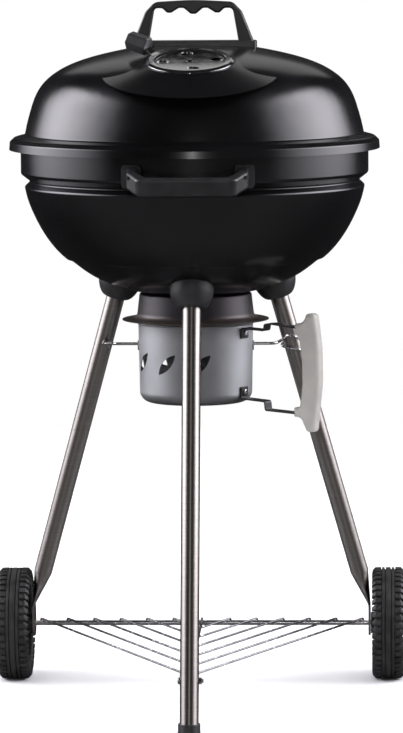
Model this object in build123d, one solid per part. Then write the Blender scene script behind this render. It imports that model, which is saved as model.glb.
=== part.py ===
from build123d import *
import os
from math import atan, cos, degrees, pi, radians, sin, sqrt

# Kettle charcoal grill on three legs: a domed lid over a pressed bowl, two wheels on the rear legs, a wire
# shelf over the axle and an ash bucket that hangs under the bowl. Millimetres, +Z up, front towards -Y.
# Everything is modelled round the kettle's own axis and moved at the end, so that the origin is the
# centre of the whole grill's footprint on the ground.

# ---- Driving dimensions ----
SHEET = 1.2                 # enamelled steel of the bowl and the lid
SEAT_GAP = 0.3              # between a loose piece and what it rests on
PRESS_GAP = 0.05            # radial room of a shaft in its hole

BOWL_R = 235.2              # outside of the straight upper band
GROOVE_R = 222.3            # bottom of the pressed-in groove that carries the cooking grate
GROOVE_Z = 705.8
STEP_Z = 599.4              # pressed step that carries the charcoal grate
STEP_OUT_R = 174.6
STEP_IN_R = 169.2
BOWL_BOTTOM_Z = 552.0
RIM_BEAD_R = 3.6

LID_LIP_R = 250.6
LID_LIP_Z = 748.5
LID_FLANGE_Z = 764.4        # outside of the flange where it turns down into the lip
LID_FLANGE_R = 244.0
LID_FOOT_R = 229.4
LID_FOOT_Z = 768.2
LID_TOP_Z = 887.0

VENT_Y = -134.0             # middle of the vent pad, in front of the axis
VENT_Z = 870.4
VENT_TILT = 13.5
PAD_R = 61.0
PAD_FLARE = 3.5             # how far the pad's side widens for each millimetre down
POCKET_FLARE = 1.5          # the same for the hollow behind the pad, for each millimetre up
DAMPER_R = 58.0
DAMPER_SHEET = 1.0
VENT_HOLE_R = 8.5
VENT_HOLE_PCD_R = 36.0
VENT_HOLE_COUNT = 4
DAMPER_HOLE_ANGLE = 8.0
LID_HOLE_ANGLE = 23.0
TAB_ANGLE = 151.0
RIVET_R = 2.5

LID_HANDLE_HALF = 80.5
LID_HANDLE_TOP_Z = 948.5
LID_HANDLE_DEPTH = 25.0
LID_HANDLE_ROUND = 3.0
SHIELD_TOP_Z = 893.5
SHIELD_HALF_X = 85.0
SHIELD_HALF_Y = 20.0
SHIELD_SHEET = 1.2
LID_SCREW_X = 70.0
LID_SCREW_R = 3.0

BOWL_HANDLE_Z = 724.0       # middle of the backplates
BOWL_HANDLE_HALF = 87.5
BOWL_HANDLE_PLATE_H = 31.0
BOWL_HANDLE_BAR_H = 24.0
BOWL_HANDLE_REACH = 47.0
BOWL_HANDLE_DROOP = 12.0
BOWL_HANDLE_THICK = 13.0
BOWL_HANDLE_SCREW_X = 76.0
BOWL_HANDLE_SCREW_R = 2.5

LEG_R = 12.5
LEG_WALL = 1.2
LEG_SPREAD = 0.3204         # run outwards for each millimetre down
LEG_REF_Z = 600.0
LEG_REF_R = 110.65
LEG_TOP_Z = 558.0
REAR_LEG_ANGLE = 120.0
SQUASH_TOP_Z = 152.0
SQUASH_LOW_Z = 104.0
PLATE_THICK = 3.2
PLATE_WIDE = 35.0
SOCKET_R = 30.0
SOCKET_NECK_R = 16.5
SOCKET_LOW_Z = 542.0        # where the leg leaves the socket, on the leg's centre line
SOCKET_SCREW_R = 3.0
CAP_WALL = 2.2
CAP_FLOOR = 3.0
CAP_HEIGHT = 12.5

WHEEL_R = 77.5
WHEEL_WIDE = 40.0
WHEEL_X = 260.0
AXLE_R = 3.5
AXLE_Y = 140.0
TYRE_IN_R = 57.0
HUB_BOSS_R = 15.0
HUB_STAND = 4.2             # how far the hub's inner boss stands out of the tyre
HUB_OUT = 1.5               # how far its outer boss does
SPOKES = 6

WIRE_R = 1.5
SHELF_WIRES = 6
SHELF_PITCH_X = 37.0
SHELF_APEX_Y = -262.0
SHELF_FALL = 13.0           # the shelf is this much lower at its front apex than over the axle
HOOK_RUN = 6.6              # how far behind the axle a hook turns down
HOOK_RISE = 0.35
HOOK_DROP = 9.0
SHELF_BOLT_Z = 66.0
SHELF_BOLT_R = 2.5
EYE_R = 5.0                 # flattened eye at the front end of the shelf's middle rod
EYE_THICK = 3.6

COLLAR_TOP_R = 76.0
COLLAR_R = 79.8
COLLAR_FLANGE_R = 99.5
COLLAR_FLANGE_Z = 517.0
COLLAR_SHEET = 1.0
COLLAR_IN_R = 58.0
COLLAR_SCREW_PCD_R = 67.0
COLLAR_SCREW_R = 2.5

BUCKET_TOP_R = 78.0
BUCKET_LOW_R = 76.1
BUCKET_TOP_Z = 512.0
BUCKET_LOW_Z = 404.0
BUCKET_SHEET = 1.0
BUCKET_CORNER_R = 15.0
BUCKET_BEAD_R = 1.5
HANG_Z = 482.5
HANG_WIRE_R = 2.0
HANG_HOLE_R = 4.5
SLOT_COUNT = 8
SLOT_PITCH = 36.0
SLOT_FIRST = 7.2
SLOT_LONG = 38.0
SLOT_WIDE = 13.0
SLOT_LEAN = 46.0
SLOT_Z = 460.0

STRAP_ANGLE = 59.0
STRAP_WIDE = 16.0
STRAP_THICK = 2.0
GRIP_THICK = 17.0
GRIP_R = 172.5              # inner edge of the grip's body
GRIP_WIDE = 27.0
GRIP_TOP_Z = 532.0
GRIP_LOW_Z = 372.5
UPPER_SCREW_Z = 500.0
LOWER_SCREW_Z = 420.5
STRAP_SCREW_R = 2.0

PIN_LEG_Z = 476.0           # where the left pin passes through its leg
PIN_ELBOW_X = -110.0
NUT_HEIGHT = 4.6
NUT_WIDE = 10.5
NUT_STAND = 3.2             # room for a flat nut on the round, leaning leg
SPRING_TURNS = 1.6
SPRING_PITCH = 18.0
SPRING_SIDES = 8            # bends in one turn of the coil
HANG_END_X = 70.0           # where the pin and the spring wire end inside the bucket

GRATE_RING_R = 3.0
GRATE_BAR_R = 2.0
GRATE_PITCH = 15.0
GRATE_R = 228.2
RING_TURN = 5.3             # keeps the joint of a grate's ring between two bars
CROSS_BAR_SHORT = 7.0       # how far a grate's cross bars end inside its ring, clear of the bowl
CHARCOAL_RING_R = 2.5
CHARCOAL_R = 171.0
CHARCOAL_PITCH = 20.0

SPLINE_SPANS = 12           # points taken along a curved stretch when it is drawn again

# ---- Places worked out from them ----
VENT_PLANE = Plane(
    origin=(0, VENT_Y, VENT_Z),
    x_dir=(1, 0, 0),
    z_dir=(0, -sin(radians(VENT_TILT)), cos(radians(VENT_TILT))),
)
FLANGE_SLOPE = (LID_FOOT_Z - LID_FLANGE_Z) / (LID_FLANGE_R - LID_FOOT_R)
BEAD_RING_R = BOWL_R + RIM_BEAD_R - SHEET
BEAD_Z = (
    LID_FLANGE_Z
    + FLANGE_SLOPE * (LID_FLANGE_R - BEAD_RING_R)
    - (SHEET + SEAT_GAP + RIM_BEAD_R) * sqrt(1 + FLANGE_SLOPE**2)
)
LEG_LEAN = degrees(atan(LEG_SPREAD))
AXLE_Z = WHEEL_R
BUCKET_HOLE_Z = HANG_Z - (HANG_HOLE_R - HANG_WIRE_R - SEAT_GAP)
LEG_FOOT_R = LEG_REF_R + LEG_SPREAD * LEG_REF_Z
CAP_R = LEG_R + CAP_WALL
FRONT_REACH = LEG_FOOT_R + CAP_R / cos(radians(LEG_LEAN))
REAR_REACH = max(AXLE_Y + WHEEL_R, LID_LIP_R)
KETTLE_Y = (FRONT_REACH - REAR_REACH) / 2
SOCKET_DEPTH = (LEG_TOP_Z - SOCKET_LOW_Z) * sqrt(1 + LEG_SPREAD**2)
PLATE_X = WHEEL_X - WHEEL_WIDE / 2 - HUB_STAND - SEAT_GAP
AXLE_HALF = WHEEL_X + WHEEL_WIDE / 2 + HUB_OUT + 5.0


def polar(radius, angle, z):
    """A point at an angle from the front, turning towards +X."""
    return Vector(radius * sin(radians(angle)), -radius * cos(radians(angle)), z)


def leg_radius(z):
    return LEG_REF_R + LEG_SPREAD * (LEG_REF_Z - z)


def leg_plane(angle, z):
    """A plane across a leg's centre line at height z, with its normal up the leg."""
    low = polar(leg_radius(z), angle, z)
    high = polar(leg_radius(z + 1), angle, z + 1)
    side = polar(1, angle + 90, 0)
    return Plane(origin=low, x_dir=side, z_dir=high - low)


def turned(face):
    """A profile drawn as (radius, height), turned round the kettle's axis."""
    return revolve(Plane.XZ * face, Axis.Z)


def solid_form(outline):
    """The solid whose outside is an outline that runs to or from the axis."""
    first, last = outline @ 0, outline @ 1
    corners = [(last.X, last.Y), (0, last.Y), (0, first.Y), (first.X, first.Y)]
    path = [corners[0]]
    for corner in corners[1:]:
        if (Vector(*corner) - Vector(*path[-1])).length > 1e-6:
            path.append(corner)
    return turned(make_face([*outline.edges(), *Polyline(*path).edges()]))


def rod(start, end, radius):
    start, end = Vector(*start), Vector(*end)
    plane = Plane(origin=start, z_dir=end - start)
    return plane * Cylinder(radius, (end - start).length, align=(Align.CENTER, Align.CENTER, Align.MIN))


def bent_wire(points, radius, bend):
    path = FilletPolyline(*points, radius=bend)
    start = Plane(origin=path @ 0, z_dir=path % 0)
    return sweep(start * Circle(radius), path=path)


def hexagon(across_flats, height):
    return extrude(RegularPolygon(across_flats / 2, 6, major_radius=False), height)


def screw(plane, shank_r, length, head_r, head_h):
    """A pan-headed screw: head above the plane, shank below it."""
    shank = plane * Cylinder(shank_r, length, align=(Align.CENTER, Align.CENTER, Align.MAX))
    head = Cylinder(head_r, head_h, align=(Align.CENTER, Align.CENTER, Align.MIN))
    head = fillet(head.edges().filter_by(GeomType.CIRCLE).sort_by(Axis.Z)[-1], head_h * 0.6)
    slot = Pos(0, 0, head_h) * Box(head_r * 1.1, head_r * 0.25, head_h * 0.6)
    cross = slot + Rot(0, 0, 90) * slot
    return shank + plane * (head - cross)


# ---- Kettle ----
def bowl_outline():
    upper = FilletPolyline(
        (BOWL_R, BEAD_Z),
        (BOWL_R, GROOVE_Z + 10.0),
        (GROOVE_R, GROOVE_Z),
        (GROOVE_R + 7.9, GROOVE_Z - 7.5),
        (GROOVE_R + 6.1, GROOVE_Z - 15.8),
        radius=[5, 2, 3.5],
    )
    low = upper @ 1
    side = Spline(
        low,
        (219.3, 663.5),
        (205.2, 636.3),
        (187.3, 612.2),
        (STEP_OUT_R + 2.4, STEP_Z + 2.9),
        tangents=[(-0.22, -1), (-0.76, -0.65)],
    )
    step = FilletPolyline(
        side @ 1,
        (STEP_OUT_R, STEP_Z + 0.85),
        (STEP_IN_R, STEP_Z - 0.4),
        (STEP_IN_R - 2.8, STEP_Z - 2.6),
        radius=[1.6, 1.6],
    )
    base = Spline(
        step @ 1,
        (150.7, 584.7),
        (133.0, 573.8),
        (105.0, 562.4),
        (COLLAR_TOP_R, 554.8),
        (0, BOWL_BOTTOM_Z),
        tangents=[(-0.79, -0.61), (-1, 0)],
    )
    return Wire([*upper.edges(), *side.edges(), *step.edges(), *base.edges()])


def lid_outline():
    flange = FilletPolyline(
        (LID_LIP_R, LID_LIP_Z),
        (LID_LIP_R - 0.8, LID_FLANGE_Z - 5.4),
        (LID_FLANGE_R, LID_FLANGE_Z),
        (LID_FOOT_R, LID_FOOT_Z),
        (LID_FOOT_R - 1.8, LID_FOOT_Z + 8.8),
        radius=[2.5, 5, 3],
    )
    dome = Spline(
        flange @ 1,
        (221.9, 799.0),
        (214.4, 820.6),
        (204.0, 837.0),
        (185.2, 852.8),
        (151.6, 868.2),
        (105.0, 880.2),
        (0, LID_TOP_Z),
        tangents=[(-0.2, 1), (-1, 0)],
    )
    return Wire([*flange.edges(), *dome.edges()])


def inside_of(outline, side):
    """The inner face of the sheet; its curved stretches are drawn again as plain splines."""
    edges = []
    for edge in outline.offset_2d(SHEET, kind=Kind.ARC, side=side, closed=False).edges():
        if edge.geom_type not in (GeomType.LINE, GeomType.CIRCLE):
            points = [edge @ (k / SPLINE_SPANS) for k in range(SPLINE_SPANS + 1)]
            edge = Spline(*points, tangents=[edge % 0, edge % 1]).edge()
        edges.append(edge)
    return Wire(edges)


BOWL_OUTLINE = bowl_outline()
LID_OUTLINE = lid_outline()
BOWL_FORM = solid_form(BOWL_OUTLINE)
LID_FORM = solid_form(LID_OUTLINE)
LID_CAVITY = solid_form(inside_of(LID_OUTLINE, Side.LEFT))


def surface_height(form, x, y, from_top):
    """Height at which a plumb line through (x, y) first meets a form."""
    probe = Pos(x, y, 500) * Box(0.4, 0.4, 1000)
    box = (form & probe).bounding_box()
    return box.max.Z if from_top else box.min.Z


COLLAR_TOP_Z = surface_height(BOWL_FORM, COLLAR_IN_R, 0, False) - SEAT_GAP


def make_bowl():
    shell = BOWL_FORM - solid_form(inside_of(BOWL_OUTLINE, Side.RIGHT))
    bowl = shell + Pos(0, 0, BEAD_Z) * Torus(BEAD_RING_R, RIM_BEAD_R)
    for k in range(3):
        slot = Pos(0, -34, BOWL_BOTTOM_Z) * extrude(Rot(0, 0, 90) * SlotOverall(46, 17), 30, both=True)
        bowl -= Rot(0, 0, 120 * k + 60) * slot
        hole = Cylinder(COLLAR_SCREW_R + PRESS_GAP, 40)
        bowl -= Pos(*polar(COLLAR_SCREW_PCD_R, 120 * k, BOWL_BOTTOM_Z)) * hole
    for angle in (0, REAR_LEG_ANGLE, -REAR_LEG_ANGLE):
        bowl -= leg_plane(angle, LEG_TOP_Z) * Cylinder(SOCKET_SCREW_R + PRESS_GAP, 60)
    hole = Cylinder(BOWL_HANDLE_SCREW_R + PRESS_GAP, 60)
    for x in (-1, 1):
        bowl -= Pos(x * BOWL_HANDLE_SCREW_X, -BOWL_R, BOWL_HANDLE_Z) * Rot(90, 0, 0) * hole
    return bowl


def pad(inset, drop):
    """The flat vent pad's body under its plane; inset and drop give the inner side of the sheet."""
    height = 16.0
    cone = Cone(
        PAD_R - inset + PAD_FLARE * height,
        PAD_R - inset,
        height,
        align=(Align.CENTER, Align.CENTER, Align.MAX),
    )
    return VENT_PLANE * Pos(0, 0, -drop) * cone


def pocket(inset, drop):
    """What the vent pad takes off the dome above its plane."""
    height = 20.0
    cone = Cone(
        PAD_R + inset,
        PAD_R + inset + POCKET_FLARE * height,
        height,
        align=(Align.CENTER, Align.CENTER, Align.MIN),
    )
    return VENT_PLANE * Pos(0, 0, -drop) * cone


def make_lid():
    outside = LID_FORM - pocket(0, 0) + pad(0, 0)
    inside = LID_CAVITY - pocket(SHEET * 0.5, SHEET) + pad(SHEET * 0.5, SHEET)
    lid = outside - inside
    for k in range(VENT_HOLE_COUNT):
        spot = PolarLocations(VENT_HOLE_PCD_R, 1, start_angle=LID_HOLE_ANGLE + 90 * k)
        for place in spot:
            lid -= VENT_PLANE * place * Cylinder(VENT_HOLE_R, 10)
    lid -= VENT_PLANE * Cylinder(RIVET_R + PRESS_GAP, 20)
    for x in (-LID_SCREW_X, LID_SCREW_X):
        lid -= Pos(x, 0, LID_TOP_Z) * Cylinder(LID_SCREW_R + PRESS_GAP, 30)
    return lid


# ---- Lid fittings ----
def make_damper():
    low = SEAT_GAP + DAMPER_SHEET / 2
    spine = FilletPolyline(
        (RIVET_R + PRESS_GAP + DAMPER_SHEET / 2, low),
        (45.5, low),
        (48.5, low + 2.4),
        (54.5, low + 2.4),
        (DAMPER_R, low),
        radius=[2, 2, 2.4],
    )
    section = Wire(spine.edges()).offset_2d(DAMPER_SHEET / 2, kind=Kind.ARC, side=Side.BOTH)
    disc = revolve(Plane.XZ * make_face(section), Axis.Z)
    for k in range(VENT_HOLE_COUNT):
        for place in PolarLocations(VENT_HOLE_PCD_R, 1, start_angle=DAMPER_HOLE_ANGLE + 90 * k):
            disc -= place * Cylinder(VENT_HOLE_R, 12)
    tab_path = FilletPolyline(
        (50.0, 0, low + 2.4),
        (57.5, 0, low + 3.6),
        (67.0, 0, low + 12.0),
        (84.0, 0, low + 15.0),
        radius=[4, 5],
    )
    start = Plane(origin=tab_path @ 0, x_dir=(0, 1, 0), z_dir=tab_path % 0)
    tab = sweep(start * Rectangle(13.0, DAMPER_SHEET), path=tab_path)
    return VENT_PLANE * (disc + Rot(0, 0, TAB_ANGLE) * tab)


def grip_frame():
    """The damper grip's frame: its axis along the upper end of the damper's tab."""
    low = SEAT_GAP + DAMPER_SHEET / 2
    middle = Vector(79.0, 0, low + 14.2)
    local = Plane(origin=middle, x_dir=(0, 1, 0), z_dir=(17.0, 0, 3.0))
    return VENT_PLANE.location * Rot(0, 0, TAB_ANGLE) * local.location


def make_damper_grip(damper):
    body = extrude(RegularPolygon(11.5, 6, major_radius=False), 15.0, both=True)
    body = chamfer(body.edges(), 1.2)
    return grip_frame() * body - damper


def make_damper_rivet():
    head_z = SEAT_GAP + DAMPER_SHEET
    shank = Pos(0, 0, -SHEET - 1.5) * Cylinder(
        RIVET_R, head_z + SHEET + 1.5, align=(Align.CENTER, Align.CENTER, Align.MIN)
    )
    dome = Pos(0, 0, head_z + 2.2 - 6.0) * Sphere(6.0)
    head = dome & Pos(0, 0, head_z) * Cylinder(5.0, 4.0, align=(Align.CENTER, Align.CENTER, Align.MIN))
    tail = Pos(0, 0, -SHEET) * Cylinder(4.2, 1.5, align=(Align.CENTER, Align.CENTER, Align.MAX))
    return VENT_PLANE * (shank + head + tail)


def make_heat_shield():
    height = SHIELD_TOP_Z - (LID_TOP_Z - 12.0)
    block = Box(2 * SHIELD_HALF_X, 2 * SHIELD_HALF_Y, height, align=(Align.CENTER, Align.CENTER, Align.MAX))
    block = fillet(block.edges().filter_by(Axis.Z), 4.0)
    block = fillet(block.faces().sort_by(Axis.Z)[-1].edges(), 2.0)
    hollow = Pos(0, 0, -SHIELD_SHEET) * Box(
        2 * (SHIELD_HALF_X - SHIELD_SHEET),
        2 * (SHIELD_HALF_Y - SHIELD_SHEET),
        height,
        align=(Align.CENTER, Align.CENTER, Align.MAX),
    )
    shield = Pos(0, 0, SHIELD_TOP_Z) * (block - hollow)
    shield -= Pos(0, 0, SEAT_GAP) * LID_FORM
    for x in (-LID_SCREW_X, LID_SCREW_X):
        shield -= Pos(x, 0, SHIELD_TOP_Z) * Cylinder(LID_SCREW_R + PRESS_GAP, 20)
    return shield


def make_lid_handle():
    top, foot = LID_HANDLE_TOP_Z, SHIELD_TOP_Z
    half = LID_HANDLE_HALF
    outer = FilletPolyline(
        (-half, foot),
        (-half + 15.5, top - 16.0),
        (-half + 28.0, top - 3.0),
        (0, top),
        (half - 28.0, top - 3.0),
        (half - 15.5, top - 16.0),
        (half, foot),
        radius=[14, 12, 300, 12, 14],
    )
    inner = FilletPolyline(
        (-60.5, foot),
        (-53.0, top - 11.0),
        (-42.0, top - 11.0),
        (-35.5, top - 17.2),
        (-29.7, top - 17.2),
        (-19.5, top - 10.8),
        (-13.0, top - 10.8),
        (-3.5, top - 18.8),
        (3.5, top - 18.8),
        (13.0, top - 10.8),
        (19.5, top - 10.8),
        (29.7, top - 17.2),
        (35.5, top - 17.2),
        (42.0, top - 11.0),
        (53.0, top - 11.0),
        (60.5, foot),
        radius=[6, 5.5, 4, 4, 5, 5, 5, 5, 5, 5, 4, 4, 5.5, 6],
    )
    feet = [Edge.make_line(outer @ 0, inner @ 0), Edge.make_line(inner @ 1, outer @ 1)]
    shape = make_face([*outer.edges(), *inner.edges(), *feet])
    handle = extrude(Plane.XZ * shape, LID_HANDLE_DEPTH / 2, both=True)
    rims = [e for e in handle.edges() if abs(abs(e.center().Y) - LID_HANDLE_DEPTH / 2) < 0.01
            and e.center().Z > foot + 1.0]
    handle = fillet(rims, LID_HANDLE_ROUND)
    for x in (-LID_SCREW_X, LID_SCREW_X):
        handle -= Pos(x, 0, foot) * Cylinder(LID_SCREW_R + PRESS_GAP, 36)
    return handle


def make_lid_screws():
    parts = []
    for x in (-LID_SCREW_X, LID_SCREW_X):
        under = surface_height(LID_CAVITY, x, 0, True) - 0.6
        plane = Plane(origin=(x, 0, under), x_dir=(1, 0, 0), z_dir=(0, 0, -1))
        parts.append(screw(plane, LID_SCREW_R, SHIELD_TOP_Z + 16.0 - under, 6.0, 3.2))
    return Compound(parts)


# ---- Bowl fittings ----
def handle_plane():
    """The bowl handle's own frame: X across, Y out of the bowl, Z up, drooping forwards."""
    droop = radians(BOWL_HANDLE_DROOP)
    return Plane(
        origin=(0, -BOWL_R, BOWL_HANDLE_Z - 2.0),
        x_dir=(-1, 0, 0),
        z_dir=(0, -sin(droop), cos(droop)),
    )


def make_bowl_handle():
    reach, thick, half = BOWL_HANDLE_REACH, BOWL_HANDLE_THICK, 79.5
    back = -24.0
    outer = FilletPolyline(
        (-half, back), (-half, 10.0), (-half + 15.0, reach), (half - 15.0, reach), (half, 10.0), (half, back),
        radius=[20, 11, 11, 20],
    )
    inner = FilletPolyline(
        (half - thick, back), (half - thick, 8.0), (half - 14.0 - thick, reach - thick),
        (-half + 14.0 + thick, reach - thick), (-half + thick, 8.0), (-half + thick, back),
        radius=[16, 6, 6, 16],
    )
    ends = [Edge.make_line(outer @ 1, inner @ 0), Edge.make_line(inner @ 1, outer @ 0)]
    shape = make_face([*outer.edges(), *inner.edges(), *ends])
    bar = extrude(shape, BOWL_HANDLE_BAR_H / 2, both=True)
    rims = [e for e in bar.edges() if abs(abs(e.center().Z) - BOWL_HANDLE_BAR_H / 2) < 0.01
            and e.center().Y > back + 1.0]
    bar = handle_plane() * fillet(rims, 4.0)
    plate_x = BOWL_HANDLE_HALF - 13.0
    skin = Pos(0, 0, BOWL_HANDLE_Z) * (
        Cylinder(BOWL_R + 3.2, BOWL_HANDLE_PLATE_H) - Cylinder(BOWL_R - 5.0, BOWL_HANDLE_PLATE_H)
    )
    handle = bar
    for side in (-1, 1):
        window = Pos(side * plate_x, -BOWL_R, BOWL_HANDLE_Z) * Box(26.0, 90.0, BOWL_HANDLE_PLATE_H)
        window = fillet(window.edges().filter_by(Axis.Y), 5.0)
        handle += skin & window
    handle -= Pos(0, 0, 700) * Cylinder(BOWL_R + 0.02, 120)
    hole = Rot(90, 0, 0) * Cylinder(BOWL_HANDLE_SCREW_R + PRESS_GAP, 50)
    for side in (-1, 1):
        handle -= Pos(side * BOWL_HANDLE_SCREW_X, -BOWL_R, BOWL_HANDLE_Z) * hole
    return handle


def make_bowl_handle_screws():
    parts = []
    depth = sqrt((BOWL_R - SHEET) ** 2 - BOWL_HANDLE_SCREW_X**2)
    for side in (-1, 1):
        x = side * BOWL_HANDLE_SCREW_X
        plane = Plane(origin=(x, -depth + 2.3, BOWL_HANDLE_Z), x_dir=(1, 0, 0), z_dir=(0, 1, 0))
        parts.append(screw(plane, BOWL_HANDLE_SCREW_R, 20.0, 5.0, 3.0))
    return Compound(parts)


def make_socket(angle):
    plane = leg_plane(angle, SOCKET_LOW_Z)
    neck, wide = SOCKET_NECK_R, SOCKET_R
    shape = make_face([
        *Polyline((0, 8.0), (0, 60.0), (wide, 60.0), (wide, 34.0)).edges(),
        *Spline((wide, 34.0), (wide - 2.6, 14.0), (neck + 3.0, 1.2), (neck, 0),
                tangents=[(0, -1), (-1, -0.1)]).edges(),
        *Polyline((neck, 0), (0, 0), (0, 8.0)).edges(),
    ])
    cup = plane * revolve(Plane.XZ * shape, Axis.Z)
    cup -= plane * Cylinder(LEG_R + PRESS_GAP, 2 * SOCKET_DEPTH)
    cup -= plane * Cylinder(SOCKET_SCREW_R + PRESS_GAP, 200)
    return cup - BOWL_FORM


def make_socket_screws():
    parts = []
    for angle in (0, REAR_LEG_ANGLE, -REAR_LEG_ANGLE):
        plane = leg_plane(angle, LEG_TOP_Z)
        line = plane * Cylinder(0.5, 120)
        low = (line & BOWL_FORM).bounding_box().min.Z
        head = leg_plane(angle, low + SHEET + 2.6)
        parts.append(screw(head, SOCKET_SCREW_R, 17.0, 6.5, 3.5))
    return Compound(parts)


# ---- Stand ----
def tube_between(angle, low_z, high_z):
    length = (high_z - low_z) * sqrt(1 + LEG_SPREAD**2)
    outer = Cylinder(LEG_R, length, align=(Align.CENTER, Align.CENTER, Align.MIN))
    inner = Cylinder(LEG_R - LEG_WALL, length, align=(Align.CENTER, Align.CENTER, Align.MIN))
    return leg_plane(angle, low_z) * (outer - inner)


def make_front_leg():
    leg = tube_between(0, -10.0, LEG_TOP_Z)
    leg -= Pos(0, -LEG_FOOT_R, CAP_FLOOR) * Box(100, 100, 60, align=(Align.CENTER, Align.CENTER, Align.MAX))
    across = Pos(0, -leg_radius(SHELF_BOLT_Z), SHELF_BOLT_Z) * Rot(0, 90, 0)
    leg -= across * Cylinder(SHELF_BOLT_R + PRESS_GAP, 60)
    slot = Pos(0, -leg_radius(SHELF_BOLT_Z) + LEG_R, SHELF_BOLT_Z + 1.0) * Box(4.4, 24, 13)
    return leg - slot


def make_foot_cap():
    plane = leg_plane(0, 0)
    body = plane * Cylinder(CAP_R, 80)
    body &= Pos(0, -LEG_FOOT_R, 0) * Box(120, 120, CAP_HEIGHT, align=(Align.CENTER, Align.CENTER, Align.MIN))
    body = fillet(body.faces().sort_by(Axis.Z)[-1].edges(), 1.0)
    bore = plane * Cylinder(LEG_R + PRESS_GAP, 80)
    bore &= Pos(0, -LEG_FOOT_R, CAP_FLOOR) * Box(120, 120, 60, align=(Align.CENTER, Align.CENTER, Align.MIN))
    return body - bore


def make_right_leg():
    tube = tube_between(REAR_LEG_ANGLE, SQUASH_TOP_Z, LEG_TOP_Z)
    mid_x = PLATE_X - PLATE_THICK / 2
    top = leg_plane(REAR_LEG_ANGLE, SQUASH_TOP_Z)
    low_y = leg_radius(SQUASH_LOW_Z) * cos(radians(180 - REAR_LEG_ANGLE))
    low = Plane(origin=(mid_x, low_y, SQUASH_LOW_Z), x_dir=(0, 1, 0), z_dir=(0, 0, 1))
    squash = loft([top * Circle(LEG_R), low * SlotOverall(PLATE_WIDE, PLATE_THICK * 0.999)])
    side = Plane(origin=(mid_x, 0, 0), x_dir=(0, 1, 0), z_dir=(1, 0, 0))
    half = PLATE_WIDE / 2
    tongue = Pos(AXLE_Y, AXLE_Z) * Circle(half) + make_face(
        Polyline(
            (AXLE_Y - half, AXLE_Z),
            (low_y - half + PLATE_THICK / 2, SQUASH_LOW_Z),
            (low_y + half - PLATE_THICK / 2, SQUASH_LOW_Z),
            (AXLE_Y + half, AXLE_Z),
            close=True,
        )
    )
    plate = extrude(side * tongue, PLATE_THICK / 2, both=True)
    leg = tube + squash + plate
    leg -= Pos(0, AXLE_Y, AXLE_Z) * Rot(0, 90, 0) * Cylinder(AXLE_R + PRESS_GAP, 800)
    return leg


def mirrored(part):
    return mirror(part, about=Plane.YZ)


def make_axle():
    return rod((-AXLE_HALF, AXLE_Y, AXLE_Z), (AXLE_HALF, AXLE_Y, AXLE_Z), AXLE_R)


def wheel_place(shape):
    """Moves a shape turned about the local Z axis onto the right wheel, its +Z outwards."""
    return Pos(WHEEL_X, AXLE_Y, AXLE_Z) * Rot(0, 90, 0) * shape


def make_right_tyre():
    half = WHEEL_WIDE / 2
    tread = FilletPolyline(
        (TYRE_IN_R, -half),
        (WHEEL_R - 3.0, -half),
        (WHEEL_R, -half + 6.0),
        (WHEEL_R, half - 6.0),
        (WHEEL_R - 3.0, half),
        (TYRE_IN_R, half),
        radius=[3.0, 3.0, 3.0, 3.0],
    )
    closing = Edge.make_line(tread @ 1, tread @ 0)
    tyre = revolve(Plane.XZ * make_face([*tread.edges(), closing]), Axis.Z)
    for z in (-4.5, 4.5):
        groove = Cylinder(WHEEL_R + 1, 2.0) - Cylinder(WHEEL_R - 1.6, 2.0)
        tyre -= Pos(0, 0, z) * groove
    return wheel_place(tyre)


def make_right_hub():
    half = WHEEL_WIDE / 2
    rim = Cylinder(TYRE_IN_R - SEAT_GAP / 6, WHEEL_WIDE - 4.0) - Cylinder(TYRE_IN_R - 4.0, WHEEL_WIDE)
    web = Cylinder(TYRE_IN_R - 3.9, 4.0)
    boss = Pos(0, 0, (HUB_OUT - HUB_STAND) / 2) * Cylinder(HUB_BOSS_R, WHEEL_WIDE + HUB_STAND + HUB_OUT)
    hub = rim + web + boss
    for k in range(SPOKES):
        rib = Pos(TYRE_IN_R / 2 + 3.0, 0, 0) * Box(TYRE_IN_R - 12.0, 3.0, WHEEL_WIDE - 12.0)
        hub += Rot(0, 0, k * 360 / SPOKES) * rib
    hub -= Cylinder(AXLE_R + PRESS_GAP, 200)
    return wheel_place(hub)


def make_right_hub_cap():
    base = WHEEL_WIDE / 2 + HUB_OUT + SEAT_GAP
    skirt = Pos(0, 0, base) * Cylinder(13.0, 7.0, align=(Align.CENTER, Align.CENTER, Align.MIN))
    cap = fillet(skirt.faces().sort_by(Axis.Z)[-1].edges(), 4.0)
    bore_depth = AXLE_HALF - WHEEL_X - base
    bore = Pos(0, 0, base) * Cylinder(AXLE_R, bore_depth, align=(Align.CENTER, Align.CENTER, Align.MIN))
    return wheel_place(cap - bore)


# ---- Wire shelf ----
def shelf_height(y):
    high = AXLE_Z + AXLE_R + WIRE_R + 0.1
    return high - SHELF_FALL * (AXLE_Y - y) / (AXLE_Y - SHELF_APEX_Y)


def hook_points(x, y_apex):
    """The hooked end of a shelf wire: from under the back of the axle, up and over it."""
    run = Vector(x, AXLE_Y - y_apex, 0).normalized()
    over = Vector(x, AXLE_Y, shelf_height(AXLE_Y) + HOOK_RISE) + run * HOOK_RUN
    under = over - Vector(0, 0, HOOK_DROP)
    return under, over


def make_shelf_wire(index):
    x = SHELF_PITCH_X * (SHELF_WIRES - index)
    apex_y = AXLE_Y - (AXLE_Y - SHELF_APEX_Y) * (SHELF_WIRES - index) / SHELF_WIRES
    apex = Vector(0, apex_y, shelf_height(apex_y))
    under, over = hook_points(x, apex_y)
    left = [Vector(-p.X, p.Y, p.Z) for p in (under, over)]
    return bent_wire([left[0], left[1], apex, over, under], WIRE_R, [3.0, 6.0, 3.0])


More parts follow.
